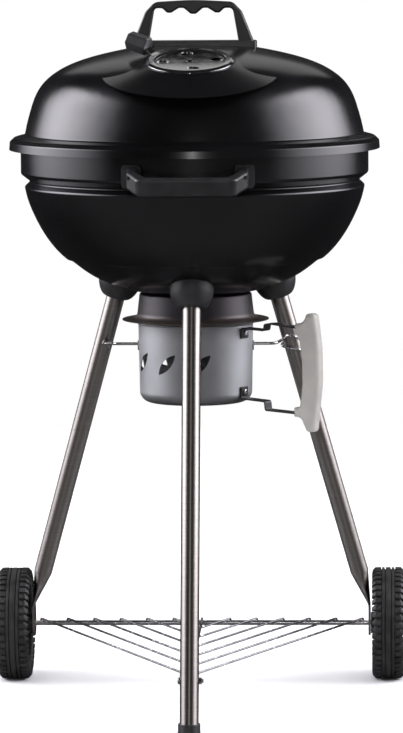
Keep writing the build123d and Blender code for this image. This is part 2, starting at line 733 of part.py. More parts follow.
def make_shelf_rod():
    drop = 2 * WIRE_R + 0.1
    leg_y = -leg_radius(SHELF_BOLT_Z)
    over = Vector(0, AXLE_Y + HOOK_RUN, shelf_height(AXLE_Y) + HOOK_RISE)
    under = over - Vector(0, 0, HOOK_DROP)
    dip = Vector(0, AXLE_Y - 26.0, shelf_height(AXLE_Y - 26.0) - drop)
    front = Vector(0, SHELF_APEX_Y + 4.0, shelf_height(SHELF_APEX_Y) - drop)
    eye = Vector(0, leg_y + 3.0, SHELF_BOLT_Z + 0.4)
    crest = Vector(0, AXLE_Y - 8.0, over.Z)
    wire = bent_wire([under, over, crest, dip, front, eye], WIRE_R, [3.0, 8.0, 8.0, 5.0])
    ring_place = Pos(0, leg_y, SHELF_BOLT_Z) * Rot(0, 90, 0)
    wire += ring_place * Cylinder(EYE_R, EYE_THICK)
    return wire - ring_place * Cylinder(SHELF_BOLT_R + PRESS_GAP, 20)


def shelf_bolt_plane(side):
    place = (side * (LEG_R + 0.1), -leg_radius(SHELF_BOLT_Z), SHELF_BOLT_Z)
    return Plane(origin=place, x_dir=(0, 1, 0), z_dir=(side, 0, 0))


def make_shelf_bolt():
    return screw(shelf_bolt_plane(-1), SHELF_BOLT_R, 2 * LEG_R + 6.0, 4.5, 2.8)


def make_shelf_nut():
    nut = hexagon(8.0, 3.6) - Cylinder(SHELF_BOLT_R, 20)
    return shelf_bolt_plane(1) * nut


# ---- Ash collar and bucket ----
def make_collar():
    outline = FilletPolyline(
        (COLLAR_IN_R, COLLAR_TOP_Z),
        (COLLAR_TOP_R, COLLAR_TOP_Z),
        (COLLAR_R, COLLAR_FLANGE_Z + 1.5),
        (COLLAR_FLANGE_R, COLLAR_FLANGE_Z),
        radius=[2.5, 9.0],
    )
    section = Wire(outline.edges()).offset_2d(COLLAR_SHEET, kind=Kind.ARC, side=Side.RIGHT, closed=True)
    collar = turned(make_face(section))
    for k in range(3):
        hole = Cylinder(COLLAR_SCREW_R + PRESS_GAP, 20)
        collar -= Pos(*polar(COLLAR_SCREW_PCD_R, 120 * k, COLLAR_TOP_Z)) * hole
    return collar


def make_collar_screws():
    parts = []
    for k in range(3):
        spot = polar(COLLAR_SCREW_PCD_R, 120 * k, 0)
        inside = BOWL_BOTTOM_Z + SHEET + 3.8
        plane = Plane(origin=(spot.X, spot.Y, inside + SEAT_GAP), x_dir=(1, 0, 0), z_dir=(0, 0, 1))
        parts.append(screw(plane, COLLAR_SCREW_R, 12.0, 4.6, 2.8))
    return Compound(parts)


def make_collar_nuts():
    parts = []
    for k in range(3):
        spot = polar(COLLAR_SCREW_PCD_R, 120 * k, COLLAR_TOP_Z - COLLAR_SHEET - 3.8)
        parts.append(Pos(*spot) * (hexagon(8.0, 3.6) - Cylinder(COLLAR_SCREW_R, 20)))
    return Compound(parts)


def leaf_cutter():
    """A pointed leaf of the vent slots, lying along X, in the XY plane."""
    radius = (SLOT_LONG**2 / 4 + SLOT_WIDE**2 / 4) / SLOT_WIDE
    offset = radius - SLOT_WIDE / 2
    leaf = (Pos(0, offset) * Circle(radius)) & (Pos(0, -offset) * Circle(radius))
    return extrude(Rot(0, 0, SLOT_LEAN) * leaf, 24.0)


def make_bucket():
    outline = FilletPolyline(
        (BUCKET_TOP_R, BUCKET_TOP_Z),
        (BUCKET_LOW_R, BUCKET_LOW_Z),
        (0, BUCKET_LOW_Z),
        radius=BUCKET_CORNER_R,
    )
    wall = Wire(outline.edges())
    inner = wall.offset_2d(BUCKET_SHEET, kind=Kind.ARC, side=Side.RIGHT, closed=False)
    bucket = solid_form(wall) - solid_form(inner)
    bucket += Pos(0, 0, BUCKET_TOP_Z) * Torus(BUCKET_TOP_R, BUCKET_BEAD_R)
    cutter = leaf_cutter()
    for k in range(SLOT_COUNT):
        angle = SLOT_FIRST - SLOT_PITCH * k
        across, outwards = polar(1, angle + 90, 0), polar(1, angle, 0)
        bucket -= Plane(origin=polar(64.0, angle, SLOT_Z), x_dir=across, z_dir=outwards) * cutter
    for side in (-1, 1):
        hub = Plane(origin=(side * HANG_END_X, 0, BUCKET_HOLE_Z), x_dir=(0, 1, 0), z_dir=(side, 0, 0))
        collar = hub * Cylinder(HANG_HOLE_R + 2.2, BUCKET_TOP_R - HANG_END_X + 0.8,
                                align=(Align.CENTER, Align.CENTER, Align.MIN))
        bucket += collar - solid_form(inner)
        bucket -= hub * Cylinder(HANG_HOLE_R, 60)
    for z in (UPPER_SCREW_Z, LOWER_SCREW_Z):
        place = Plane(origin=polar(BUCKET_TOP_R, STRAP_ANGLE, z), z_dir=polar(1, STRAP_ANGLE, 0))
        bucket -= place * Cylinder(STRAP_SCREW_R + PRESS_GAP, 12)
    return bucket


def strap_plane():
    """The upright plane through the axis at the grip: X outwards, Y up."""
    return Plane(origin=(0, 0, 0), x_dir=polar(1, STRAP_ANGLE, 0), z_dir=polar(1, STRAP_ANGLE - 90, 0))


def make_strap(points, screw_z, clearance=0.0):
    path = FilletPolyline(*points, radius=2.2)
    section = Wire(path.edges()).offset_2d(STRAP_THICK / 2 + clearance, kind=Kind.ARC, side=Side.BOTH)
    strap = strap_plane() * extrude(make_face(section), STRAP_WIDE / 2 + clearance, both=True)
    place = Plane(origin=polar(BUCKET_TOP_R, STRAP_ANGLE, screw_z), z_dir=polar(1, STRAP_ANGLE, 0))
    return strap - place * Cylinder(STRAP_SCREW_R + PRESS_GAP, 12)


def strap_face(z):
    slope = (BUCKET_TOP_R - BUCKET_LOW_R) / (BUCKET_TOP_Z - BUCKET_LOW_Z)
    return BUCKET_LOW_R + slope * (z - BUCKET_LOW_Z) + STRAP_THICK / 2 + 0.1


UPPER_STRAP = [
    (strap_face(494.5), 494.5),
    (strap_face(507.5), 507.5),
    (114.0, 506.0),
    (115.5, 514.5),
    (125.0, 515.5),
    (GRIP_R + 8.0, 510.5),
]
LOWER_STRAP = [
    (strap_face(427.0), 427.0),
    (strap_face(412.0), 412.0),
    (115.0, 410.0),
    (116.5, 398.5),
    (GRIP_R + 8.0, 396.0),
]


def make_strap_screws():
    parts = []
    for z in (UPPER_SCREW_Z, LOWER_SCREW_Z):
        face = strap_face(z) + (STRAP_THICK + SEAT_GAP) / 2
        plane = Plane(origin=polar(face, STRAP_ANGLE, z), z_dir=polar(1, STRAP_ANGLE, 0))
        parts.append(screw(plane, STRAP_SCREW_R, 7.0, 4.2, 2.6))
    return Compound(parts)


def make_grip():
    low, high, near = GRIP_LOW_Z, GRIP_TOP_Z, GRIP_R
    far = near + GRIP_WIDE
    outline = FilletPolyline(
        (near - 12.0, low + 19.5),
        (near - 12.0, low + 32.0),
        (near - 3.0, low + 33.0),
        (near + 1.2, low + 62.0),
        (near + 0.6, low + 96.0),
        (near - 3.0, low + 122.0),
        (near - 11.0, low + 134.0),
        (near - 11.0, low + 145.0),
        (near + 3.0, low + 146.5),
        (near + 8.0, high),
        (near + 21.0, high),
        (far, high - 45.0),
        (far + 1.0, high - 90.0),
        (near + 20.0, low),
        (near + 8.0, low),
        (near - 1.0, low + 19.0),
        radius=[0.8, 1.2, 3, 40, 40, 8, 2.5, 3, 12, 6, 6, 60, 60, 5.5, 5.5, 10],
        close=True,
    )
    body = extrude(strap_plane() * make_face(outline), GRIP_THICK / 2, both=True)
    normal = polar(1, STRAP_ANGLE - 90, 0)
    rims = [e for e in body.edges() if abs(abs(e.center().dot(normal)) - GRIP_THICK / 2) < 0.01]
    body = fillet(rims, 5.0)
    body -= make_strap(UPPER_STRAP, UPPER_SCREW_Z, 0.1)
    return body - make_strap(LOWER_STRAP, LOWER_SCREW_Z, 0.1)


# ---- Bucket hangers ----
def left_pin_route():
    """From behind the left leg, through it, and forwards to the bucket's left hole."""
    leg = polar(leg_radius(PIN_LEG_Z), -REAR_LEG_ANGLE, PIN_LEG_Z)
    elbow = Vector(PIN_ELBOW_X, 0, HANG_Z)
    back = leg + (leg - elbow).normalized() * (LEG_R + 12.0)
    return back, elbow, Vector(-HANG_END_X, 0, HANG_Z)


def make_left_pin():
    return bent_wire(left_pin_route(), HANG_WIRE_R, 6.0)


def make_pin_nuts():
    back, elbow, _ = left_pin_route()
    leg = polar(leg_radius(PIN_LEG_Z), -REAR_LEG_ANGLE, PIN_LEG_Z)
    forward = (elbow - back).normalized()
    parts = []
    for start in (LEG_R + NUT_STAND, LEG_R + NUT_STAND + NUT_HEIGHT + 0.8, -LEG_R - NUT_STAND - NUT_HEIGHT):
        plane = Plane(origin=leg + forward * start, z_dir=forward)
        parts.append(plane * (hexagon(NUT_WIDE, NUT_HEIGHT) - Cylinder(HANG_WIRE_R, 20)))
    return Compound(parts)


def drill_left_leg(leg):
    back, elbow, _ = left_pin_route()
    return leg - rod(back - (elbow - back).normalized() * 20, elbow, HANG_WIRE_R + PRESS_GAP)


def make_spring_wire():
    """A bent wire: straight into the bucket's right hole, then coiled down round the right leg."""
    coil_r = LEG_R + HANG_WIRE_R + SEAT_GAP
    reach = coil_r / cos(pi / SPRING_SIDES)
    points = [
        Vector(HANG_END_X, 0, HANG_Z),
        Vector(108.0, 0, HANG_Z),
        Vector(118.0, 30.0, HANG_Z + 2.5),
    ]
    steps = round(SPRING_TURNS * SPRING_SIDES)
    for k in range(steps + 1):
        turn = -115.0 + 360.0 * k / SPRING_SIDES
        z = HANG_Z + 5.5 - SPRING_PITCH * k / SPRING_SIDES
        centre = polar(leg_radius(z), REAR_LEG_ANGLE, z)
        swing = Vector(reach * cos(radians(turn)), reach * sin(radians(turn)), 0)
        lean = polar(1, REAR_LEG_ANGLE, 0)
        stretch = swing + lean * (swing.dot(lean) * (sqrt(1 + LEG_SPREAD**2) - 1))
        points.append(centre + stretch)
    return bent_wire(points, HANG_WIRE_R, [9.0, 9.0] + [8.0] * steps)


# ---- Grates ----
def make_grate(ring_r, wire_r, bar_r, pitch, z, cross_bars):
    """A round wire grate: a ring, parallel bars in it and two bars across underneath."""
    count = int((ring_r - 8.0) / pitch)
    bars = []
    for k in range(-count, count + 1):
        half = sqrt(ring_r**2 - (k * pitch) ** 2)
        bars.append(rod((k * pitch, -half, z), (k * pitch, half, z), bar_r))
    low = z - bar_r - wire_r * 0.5
    for y in cross_bars:
        half = sqrt(ring_r**2 - y**2) - CROSS_BAR_SHORT
        bars.append(rod((-half, y, low), (half, y, low), wire_r * 0.8))
    return Pos(0, 0, z) * Rot(0, 0, RING_TURN) * Torus(ring_r, wire_r) + bars


def bowl_seat_height(ring_r, wire_r, start_z):
    """Height of a grate's ring that keeps the seat gap from the bowl's inner wall."""
    wall = inside_of(BOWL_OUTLINE, Side.RIGHT)
    low, high = start_z - 20.0, start_z
    while high - low > 0.01:
        middle = (low + high) / 2
        clear = wall.distance_to(Vertex(ring_r, middle, 0)) > wire_r + SEAT_GAP
        low, high = (low, middle) if clear else (middle, high)
    return high


def make_cooking_grate():
    z = bowl_seat_height(GRATE_R, GRATE_RING_R, GROOVE_Z + 20.0)
    return make_grate(GRATE_R, GRATE_RING_R, GRATE_BAR_R, GRATE_PITCH, z, (-70.0, 70.0))


def make_charcoal_grate():
    z = bowl_seat_height(CHARCOAL_R, CHARCOAL_RING_R, STEP_Z + 12.0)
    return make_grate(CHARCOAL_R, CHARCOAL_RING_R, GRATE_BAR_R, CHARCOAL_PITCH, z, (-50.0, 50.0))


# ---- Assembly ----
DAMPER = make_damper()
RIGHT_LEG = make_right_leg()
RIGHT_TYRE = make_right_tyre()
RIGHT_HUB = make_right_hub()
RIGHT_CAP = make_right_hub_cap()

NODES = {
    "bowl": make_bowl(),
    "bowl_handle": make_bowl_handle(),
    "bowl_handle_screws": make_bowl_handle_screws(),
    "front_leg_socket": make_socket(0),
    "left_leg_socket": make_socket(-REAR_LEG_ANGLE),
    "right_leg_socket": make_socket(REAR_LEG_ANGLE),
    "leg_socket_screws": make_socket_screws(),
    "front_leg": make_front_leg(),
    "left_leg": drill_left_leg(mirrored(RIGHT_LEG)),
    "right_leg": RIGHT_LEG,
    "front_foot_cap": make_foot_cap(),
    "axle": make_axle(),
    "left_tyre": mirrored(RIGHT_TYRE),
    "right_tyre": RIGHT_TYRE,
    "left_hub": mirrored(RIGHT_HUB),
    "right_hub": RIGHT_HUB,
    "left_hub_cap": mirrored(RIGHT_CAP),
    "right_hub_cap": RIGHT_CAP,
    "shelf_rod": make_shelf_rod(),
    "shelf_bolt": make_shelf_bolt(),
    "shelf_nut": make_shelf_nut(),
    "ash_collar": make_collar(),
    "collar_screws": make_collar_screws(),
    "collar_nuts": make_collar_nuts(),
    "ash_bucket": make_bucket(),
    "upper_strap": make_strap(UPPER_STRAP, UPPER_SCREW_Z),
    "lower_strap": make_strap(LOWER_STRAP, LOWER_SCREW_Z),
    "strap_screws": make_strap_screws(),
    "bucket_grip": make_grip(),
    "left_bucket_pin": make_left_pin(),
    "pin_nuts": make_pin_nuts(),
    "right_bucket_spring": make_spring_wire(),
    "cooking_grate": make_cooking_grate(),
    "charcoal_grate": make_charcoal_grate(),
    "lid": make_lid(),
    "lid_handle": make_lid_handle(),
    "lid_heat_shield": make_heat_shield(),
    "lid_handle_screws": make_lid_screws(),
    "vent_damper": DAMPER,
    "damper_grip": make_damper_grip(DAMPER),
    "damper_rivet": make_damper_rivet(),
}
for index in range(SHELF_WIRES):
    NODES[f"shelf_wire_{index + 1}"] = make_shelf_wire(index)

os.makedirs("parts", exist_ok=True)
for name, shape in NODES.items():
    solids = [Pos(0, KETTLE_Y, 0) * solid for solid in shape.solids()]
    export_step(solids[0] if len(solids) == 1 else Compound(children=solids), f"parts/{name}.step")
print("kettle axis at y =", round(KETTLE_Y, 4), "axle at y =", round(AXLE_Y + KETTLE_Y, 4), "z =", AXLE_Z)
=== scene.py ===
"""The looks of a kettle charcoal grill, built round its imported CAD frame.

The frame brings every CAD piece in its place. This file dresses each of them in its finish, models the two
treaded tyres that take the place of the plain CAD ones, and sets up the studio and the camera.
"""

import logging
import math
from dataclasses import dataclass, field
from enum import Enum
from typing import Callable, Sequence

import bmesh
import bpy
from mathutils import Matrix, Vector


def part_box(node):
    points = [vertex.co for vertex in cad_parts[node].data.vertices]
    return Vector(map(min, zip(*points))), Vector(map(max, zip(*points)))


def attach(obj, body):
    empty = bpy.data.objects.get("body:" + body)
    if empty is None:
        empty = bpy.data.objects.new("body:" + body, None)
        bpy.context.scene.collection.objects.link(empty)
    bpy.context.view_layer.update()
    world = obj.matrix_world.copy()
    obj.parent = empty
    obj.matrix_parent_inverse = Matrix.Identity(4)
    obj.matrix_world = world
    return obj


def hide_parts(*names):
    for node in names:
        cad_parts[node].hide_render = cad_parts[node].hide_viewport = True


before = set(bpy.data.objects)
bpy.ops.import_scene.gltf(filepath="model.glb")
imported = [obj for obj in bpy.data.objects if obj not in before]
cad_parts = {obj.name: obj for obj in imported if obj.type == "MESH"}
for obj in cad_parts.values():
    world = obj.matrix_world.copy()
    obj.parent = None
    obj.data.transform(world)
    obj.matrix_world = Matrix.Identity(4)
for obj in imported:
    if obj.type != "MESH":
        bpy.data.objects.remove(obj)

logging.basicConfig(level=logging.INFO, format="%(name)s: %(message)s")
log = logging.getLogger("kettle_grill")

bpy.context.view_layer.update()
Colour = tuple[float, float, float]
PATTERN_LOW = 0.3  # noise patterns mostly run from here
PATTERN_HIGH = 0.7  # to here
LEG_WIDE = 0.025  # outer width of the leg tubes


class Body(Enum):
    """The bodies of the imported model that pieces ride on."""

    STAND = "stand"
    LID = "lid"
    DAMPER = "damper"
    COOKING_GRATE = "cooking_grate"
    CHARCOAL_GRATE = "charcoal_grate"
    LEFT_WHEEL = "left_wheel"
    RIGHT_WHEEL = "right_wheel"
    ASH_CATCHER = "ash_catcher"


class Side(Enum):
    """The two sides of the grill, as the sign of X."""

    LEFT = -1
    RIGHT = 1


# ---- Materials ----
class Graph:
    """A material's node tree, with short methods for the nodes that the finishes use."""

    def __init__(self, name: str) -> None:
        """Starts a material with one Principled shader.

        Args:
            name: The material's name.
        """
        self.material = bpy.data.materials.new(name)
        self.material.use_nodes = True
        self.nodes = self.material.node_tree.nodes
        self.links = self.material.node_tree.links
        self.nodes.clear()
        self.shader = self.nodes.new("ShaderNodeBsdfPrincipled")
        output = self.nodes.new("ShaderNodeOutputMaterial")
        self.links.new(self.shader.outputs["BSDF"], output.inputs["Surface"])
        self._coordinates = self.nodes.new("ShaderNodeTexCoord").outputs["Object"]

    def settings(self, **values: float) -> None:
        """Sets sockets of the shader that are the same all over the surface.

        Args:
            **values: Socket names with underscores for spaces, and their numbers.
        """
        for name, value in values.items():
            self.shader.inputs[name.replace("_", " ")].default_value = value

    def stretched(self, scale: Sequence[float], turn: Sequence[float] = (0, 0, 0)) -> bpy.types.NodeSocket:
        """Object coordinates, stretched and turned.

        Args:
            scale: How often the pattern repeats along X, Y and Z.
            turn: Rotation of the pattern, in radians.

        Returns:
            The vector socket.
        """
        mapping = self.nodes.new("ShaderNodeMapping")
        mapping.inputs["Rotation"].default_value = turn
        mapping.inputs["Scale"].default_value = scale
        self.links.new(self._coordinates, mapping.inputs["Vector"])
        return mapping.outputs["Vector"]

    def noise(self, vector: bpy.types.NodeSocket, scale: float, detail: float = 2.0) -> bpy.types.NodeSocket:
        """A noise pattern from 0 to 1.

        Args:
            vector: Where to read it.
            scale: Its fineness.
            detail: How many finer layers it has.

        Returns:
            The value socket.
        """
        node = self.nodes.new("ShaderNodeTexNoise")
        node.inputs["Scale"].default_value = scale
        node.inputs["Detail"].default_value = detail
        self.links.new(vector, node.inputs["Vector"])
        return node.outputs["Fac"]

    def cells(self, vector: bpy.types.NodeSocket, scale: float) -> bpy.types.NodeSocket:
        """The distance field of small round cells, as on moulded grain.

        Args:
            vector: Where to read it.
            scale: Its fineness.

        Returns:
            The value socket.
        """
        node = self.nodes.new("ShaderNodeTexVoronoi")
        node.inputs["Scale"].default_value = scale
        self.links.new(vector, node.inputs["Vector"])
        return node.outputs["Distance"]

    def spread(self, value: bpy.types.NodeSocket, low: float, high: float) -> bpy.types.NodeSocket:
        """A pattern's middle range spread over a range of values.

        Args:
            value: The pattern.
            low: The value at its low end.
            high: The value at its high end.

        Returns:
            The value socket.
        """
        node = self.nodes.new("ShaderNodeMapRange")
        node.inputs["From Min"].default_value = PATTERN_LOW
        node.inputs["From Max"].default_value = PATTERN_HIGH
        node.inputs["To Min"].default_value = low
        node.inputs["To Max"].default_value = high
        self.links.new(value, node.inputs["Value"])
        return node.outputs["Result"]

    def blend(self, value: bpy.types.NodeSocket, low: Colour, high: Colour) -> bpy.types.NodeSocket:
        """A colour that runs from low to high with a value.

        Args:
            value: The pattern.
            low: The colour at its low end.
            high: The colour at its high end.

        Returns:
            The colour socket.
        """
        ramp = self.nodes.new("ShaderNodeValToRGB")
        ramp.color_ramp.elements[0].position = PATTERN_LOW
        ramp.color_ramp.elements[0].color = (*low, 1)
        ramp.color_ramp.elements[1].position = PATTERN_HIGH
        ramp.color_ramp.elements[1].color = (*high, 1)
        self.links.new(value, ramp.inputs["Fac"])
        return ramp.outputs["Color"]

    def height_band(self, low: float, high: float) -> bpy.types.NodeSocket:
        """A value that rises from 0 to 1 between two heights.

        Args:
            low: The height where it is 0, in metres.
            high: The height where it is 1, in metres.

        Returns:
            The value socket.
        """
        split = self.nodes.new("ShaderNodeSeparateXYZ")
        self.links.new(self._coordinates, split.inputs["Vector"])
        node = self.nodes.new("ShaderNodeMapRange")
        node.interpolation_type = "SMOOTHSTEP"
        node.inputs["From Min"].default_value = low
        node.inputs["From Max"].default_value = high
        self.links.new(split.outputs["Z"], node.inputs["Value"])
        return node.outputs["Result"]

    def mixed(
        self,
        share: bpy.types.NodeSocket,
        one: bpy.types.NodeSocket,
        other: bpy.types.NodeSocket,
    ) -> bpy.types.NodeSocket:
        """A mix of two colours.

        Args:
            share: How much of the second there is, from 0 to 1.
            one: The first colour.
            other: The second colour.

        Returns:
            The colour socket.
        """
        node = self.nodes.new("ShaderNodeMix")
        node.data_type = "RGBA"
        self.links.new(share, node.inputs["Factor"])
        self.links.new(one, node.inputs["A"])
        self.links.new(other, node.inputs["B"])
        return node.outputs["Result"]

    def to(self, socket: str, value: bpy.types.NodeSocket) -> None:
        """Joins a value to one of the shader's sockets.

        Args:
            socket: The socket's name.
            value: What drives it.
        """
        self.links.new(value, self.shader.inputs[socket])

    def bump(self, *layers: tuple[bpy.types.NodeSocket, float, float]) -> None:
        """Stacks bump layers on the shader's normal.

        Args:
            *layers: Height socket, strength and depth in metres, the broadest first.
        """
        normal = None
        for height, strength, depth in layers:
            node = self.nodes.new("ShaderNodeBump")
            node.inputs["Strength"].default_value = strength
            node.inputs["Distance"].default_value = depth
            self.links.new(height, node.inputs["Height"])
            if normal is not None:
                self.links.new(normal, node.inputs["Normal"])
            normal = node.outputs["Normal"]
        self.links.new(normal, self.shader.inputs["Normal"])


@dataclass(frozen=True)
class Enamel:
    """Fired black enamel: deep gloss with the slight ripple of a glassy coat."""

    name: str = "black_enamel"
    dark: Colour = (0.0018, 0.0018, 0.002)
    light: Colour = (0.0034, 0.0032, 0.0036)
    roughness: tuple[float, float] = (0.18, 0.25)

    def build(self) -> bpy.types.Material:
        """Makes the material.

        Returns:
            The material.
        """
        graph = Graph(self.name)
        broad = graph.noise(graph.stretched((1, 1, 1)), 9.0, 3.0)
        ripple = graph.noise(graph.stretched((1, 1, 1)), 340.0, 1.0)
        graph.to("Base Color", graph.blend(broad, self.dark, self.light))
        graph.to("Roughness", graph.spread(broad, *self.roughness))
        graph.settings(IOR=1.5, Coat_Weight=0.1, Coat_Roughness=0.12)
        graph.bump((ripple, 0.05, 0.00012))
        return graph.material


@dataclass(frozen=True)
class BrushedTube:
    """Stainless tube, polished crosswise: fine hairlines round it draw each highlight out along it."""

    name: str
    axis: tuple[float, float, float]
    dark: Colour = (0.37, 0.345, 0.32)
    light: Colour = (0.44, 0.41, 0.385)
    roughness: tuple[float, float] = (0.34, 0.39)

    def build(self) -> bpy.types.Material:
        """Makes the material.

        Returns:
            The material.
        """
        graph = Graph(self.name)
        hairlines = graph.noise(graph.stretched((60, 60, 2600)), 1.0, 3.0)
        tone = graph.noise(graph.stretched((30, 30, 500)), 1.0, 4.0)
        along = graph.nodes.new("ShaderNodeCombineXYZ")
        for socket, value in zip(along.inputs, self.axis):
            socket.default_value = value
        graph.to("Base Color", graph.blend(tone, self.dark, self.light))
        graph.to("Roughness", graph.spread(hairlines, *self.roughness))
        graph.to("Tangent", along.outputs["Vector"])
        graph.settings(Metallic=1.0, Anisotropic=0.75)
        graph.bump((hairlines, 0.015, 0.00004))
        return graph.material


@dataclass(frozen=True)
class SatinAluminium:
    """Satin silver aluminium of the ash bucket, cooler and greyer, with soft turned lines."""

    name: str = "satin_aluminium"
    dark: Colour = (0.43, 0.44, 0.45)
    light: Colour = (0.50, 0.51, 0.52)
    roughness: tuple[float, float] = (0.50, 0.57)

    def build(self) -> bpy.types.Material:
        """Makes the material.

        Returns:
            The material.
        """
        graph = Graph(self.name)
        turned = graph.noise(graph.stretched((14, 14, 900)), 1.0, 3.0)
        cloud = graph.noise(graph.stretched((1, 1, 1)), 22.0, 4.0)
        graph.to("Base Color", graph.blend(cloud, self.dark, self.light))
        graph.to("Roughness", graph.spread(cloud, *self.roughness))
        graph.settings(Metallic=1.0)
        graph.bump((cloud, 0.05, 0.0004), (turned, 0.10, 0.00005))
        return graph.material


@dataclass(frozen=True)
class CollarSteel:
    """Dark heat-proof coating on the collar, metallic. Below flange_z it is painted lighter and browner: the
    lightness is painted light on the up-facing ledge at the collar's foot, the brown is the coating's own
    tint.
    """

    name: str = "collar_coating"
    dark: Colour = (0.030, 0.027, 0.030)
    light: Colour = (0.052, 0.047, 0.050)
    # Colour below flange_z: lighter as painted light on the up-facing ledge, browner as the coating's own
    # tint
    flange_tint_and_light: Colour = (0.075, 0.060, 0.054)
    flange_z: float = 0.522

    def build(self) -> bpy.types.Material:
        """Makes the material.

        Returns:
            The material.
        """
        graph = Graph(self.name)
        grain = graph.noise(graph.stretched((1, 1, 1)), 1400.0, 2.0)
        cloud = graph.noise(graph.stretched((1, 1, 1)), 30.0, 4.0)
        wall = graph.blend(cloud, self.dark, self.light)
        # Painted light: the lighter colour below flange_z stands in for the light that the up-facing ledge
        # catches
        flange_tint_and_light = graph.blend(cloud, self.flange_tint_and_light, tuple(c * 1.3 for c in self.flange_tint_and_light))
        rise = graph.height_band(self.flange_z - 0.002, self.flange_z + 0.004)
        graph.to("Base Color", graph.mixed(rise, flange_tint_and_light, wall))
        graph.to("Roughness", graph.spread(cloud, 0.34, 0.44))
        graph.settings(Metallic=0.55)
        graph.bump((grain, 0.12, 0.00006))
        return graph.material


@dataclass(frozen=True)
class BrightWire:
    """Bright plated wire and small fittings, a little uneven along the wire."""

    name: str = "bright_plating"
    dark: Colour = (0.42, 0.42, 0.43)
    light: Colour = (0.66, 0.66, 0.67)
    roughness: tuple[float, float] = (0.14, 0.30)

    def build(self) -> bpy.types.Material:
        """Makes the material.

        Returns:
            The material.
        """
        graph = Graph(self.name)
        tone = graph.noise(graph.stretched((1, 1, 1)), 120.0, 4.0)
        drawn = graph.noise(graph.stretched((1, 1, 1)), 1500.0, 2.0)
        graph.to("Base Color", graph.blend(tone, self.dark, self.light))
        graph.to("Roughness", graph.spread(tone, *self.roughness))
        graph.settings(Metallic=1.0)
        graph.bump((drawn, 0.03, 0.00003))
        return graph.material


@dataclass(frozen=True)
class Moulding:
    """Moulded plastic with a fine spark-eroded grain."""

    name: str
    dark: Colour
    light: Colour
    roughness: tuple[float, float]
    grain: float = 900.0
    grain_depth: float = 0.00008

    def build(self) -> bpy.types.Material:
        """Makes the material.

        Returns:
            The material.
        """
        graph = Graph(self.name)
        grain = graph.cells(graph.stretched((1, 1, 1)), self.grain)
        cloud = graph.noise(graph.stretched((1, 1, 1)), 45.0, 4.0)
        graph.to("Base Color", graph.blend(cloud, self.dark, self.light))
        graph.to("Roughness", graph.spread(cloud, *self.roughness))
        graph.settings(IOR=1.48)
        graph.bump((cloud, 0.04, 0.0003), (grain, 0.16, self.grain_depth))
        return graph.material


@dataclass(frozen=True)
class StovePaint:
    """Black baked paint on formed strip and sheet, with a faint orange peel and rubbed spots."""

    name: str = "black_stove_paint"
    dark: Colour = (0.010, 0.010, 0.011)
    light: Colour = (0.022, 0.021, 0.021)
    roughness: tuple[float, float] = (0.26, 0.38)

    def build(self) -> bpy.types.Material:
        """Makes the material.

        Returns:
            The material.
        """
        graph = Graph(self.name)
        peel = graph.noise(graph.stretched((1, 1, 1)), 600.0, 2.0)
        worn = graph.noise(graph.stretched((1, 1, 1)), 70.0, 6.0)
        graph.to("Base Color", graph.blend(worn, self.dark, self.light))
        graph.to("Roughness", graph.spread(worn, *self.roughness))
        graph.settings(IOR=1.5, Metallic=0.0)
        graph.bump((peel, 0.10, 0.00008))
        return graph.material


@dataclass(frozen=True)
class PolishedDamper:
    """Mirror-polished damper plate with faint circular buffing."""

    name: str = "polished_damper"
    dark: Colour = (0.50, 0.50, 0.50)
    light: Colour = (0.68, 0.68, 0.67)
    roughness: tuple[float, float] = (0.08, 0.17)

    def build(self) -> bpy.types.Material:
        """Makes the material.

        Returns:
            The material.
        """
        graph = Graph(self.name)
        smear = graph.noise(graph.stretched((1, 1, 1)), 90.0, 5.0)
        buffed = graph.noise(graph.stretched((900, 90, 90)), 1.0, 2.0)
        graph.to("Base Color", graph.blend(smear, self.dark, self.light))
        graph.to("Roughness", graph.spread(smear, *self.roughness))
        graph.settings(Metallic=1.0)
        graph.bump((buffed, 0.05, 0.00003))
        return graph.material


@dataclass(frozen=True)
class GrateWire:
    """Plain steel grate wire, duller and a little mottled."""

    name: str = "grate_wire"
    dark: Colour = (0.30, 0.29, 0.28)
    light: Colour = (0.50, 0.49, 0.48)
    roughness: tuple[float, float] = (0.30, 0.48)

    def build(self) -> bpy.types.Material:
        """Makes the material.

        Returns:
            The material.
        """
        graph = Graph(self.name)
        mottle = graph.noise(graph.stretched((1, 1, 1)), 160.0, 5.0)
        graph.to("Base Color", graph.blend(mottle, self.dark, self.light))
        graph.to("Roughness", graph.spread(mottle, *self.roughness))
        graph.settings(Metallic=1.0)
        graph.bump((mottle, 0.12, 0.0001))
        return graph.material


@dataclass(frozen=True)
class Blacking:
    """Oiled black oxide on hidden screws and nuts."""

    name: str = "black_oxide"
    dark: Colour = (0.05, 0.05, 0.052)
    light: Colour = (0.11, 0.11, 0.112)
    roughness: tuple[float, float] = (0.28, 0.42)

    def build(self) -> bpy.types.Material:
        """Makes the material.

        Returns:
            The material.
        """
        graph = Graph(self.name)
        tone = graph.noise(graph.stretched((1, 1, 1)), 260.0, 4.0)
        graph.to("Base Color", graph.blend(tone, self.dark, self.light))
        graph.to("Roughness", graph.spread(tone, *self.roughness))
        graph.settings(Metallic=1.0)
        graph.bump((tone, 0.08, 0.00008))
        return graph.material


@dataclass(frozen=True)
class TyreCompound:
    """Hard moulded wheel plastic, dusty black with a dry sheen."""

    name: str = "tyre_compound"
    dark: Colour = (0.010, 0.010, 0.010)
    light: Colour = (0.026, 0.026, 0.026)
    roughness: tuple[float, float] = (0.42, 0.62)

    def build(self) -> bpy.types.Material:
        """Makes the material.

        Returns:
            The material.
        """
        graph = Graph(self.name)
        dust = graph.noise(graph.stretched((1, 1, 1)), 60.0, 6.0)
        grain = graph.cells(graph.stretched((1, 1, 1)), 800.0)
        graph.to("Base Color", graph.blend(dust, self.dark, self.light))
        graph.to("Roughness", graph.spread(dust, *self.roughness))
        graph.settings(IOR=1.45)
        graph.bump((dust, 0.06, 0.0004), (grain, 0.16, 0.0001))
        return graph.material


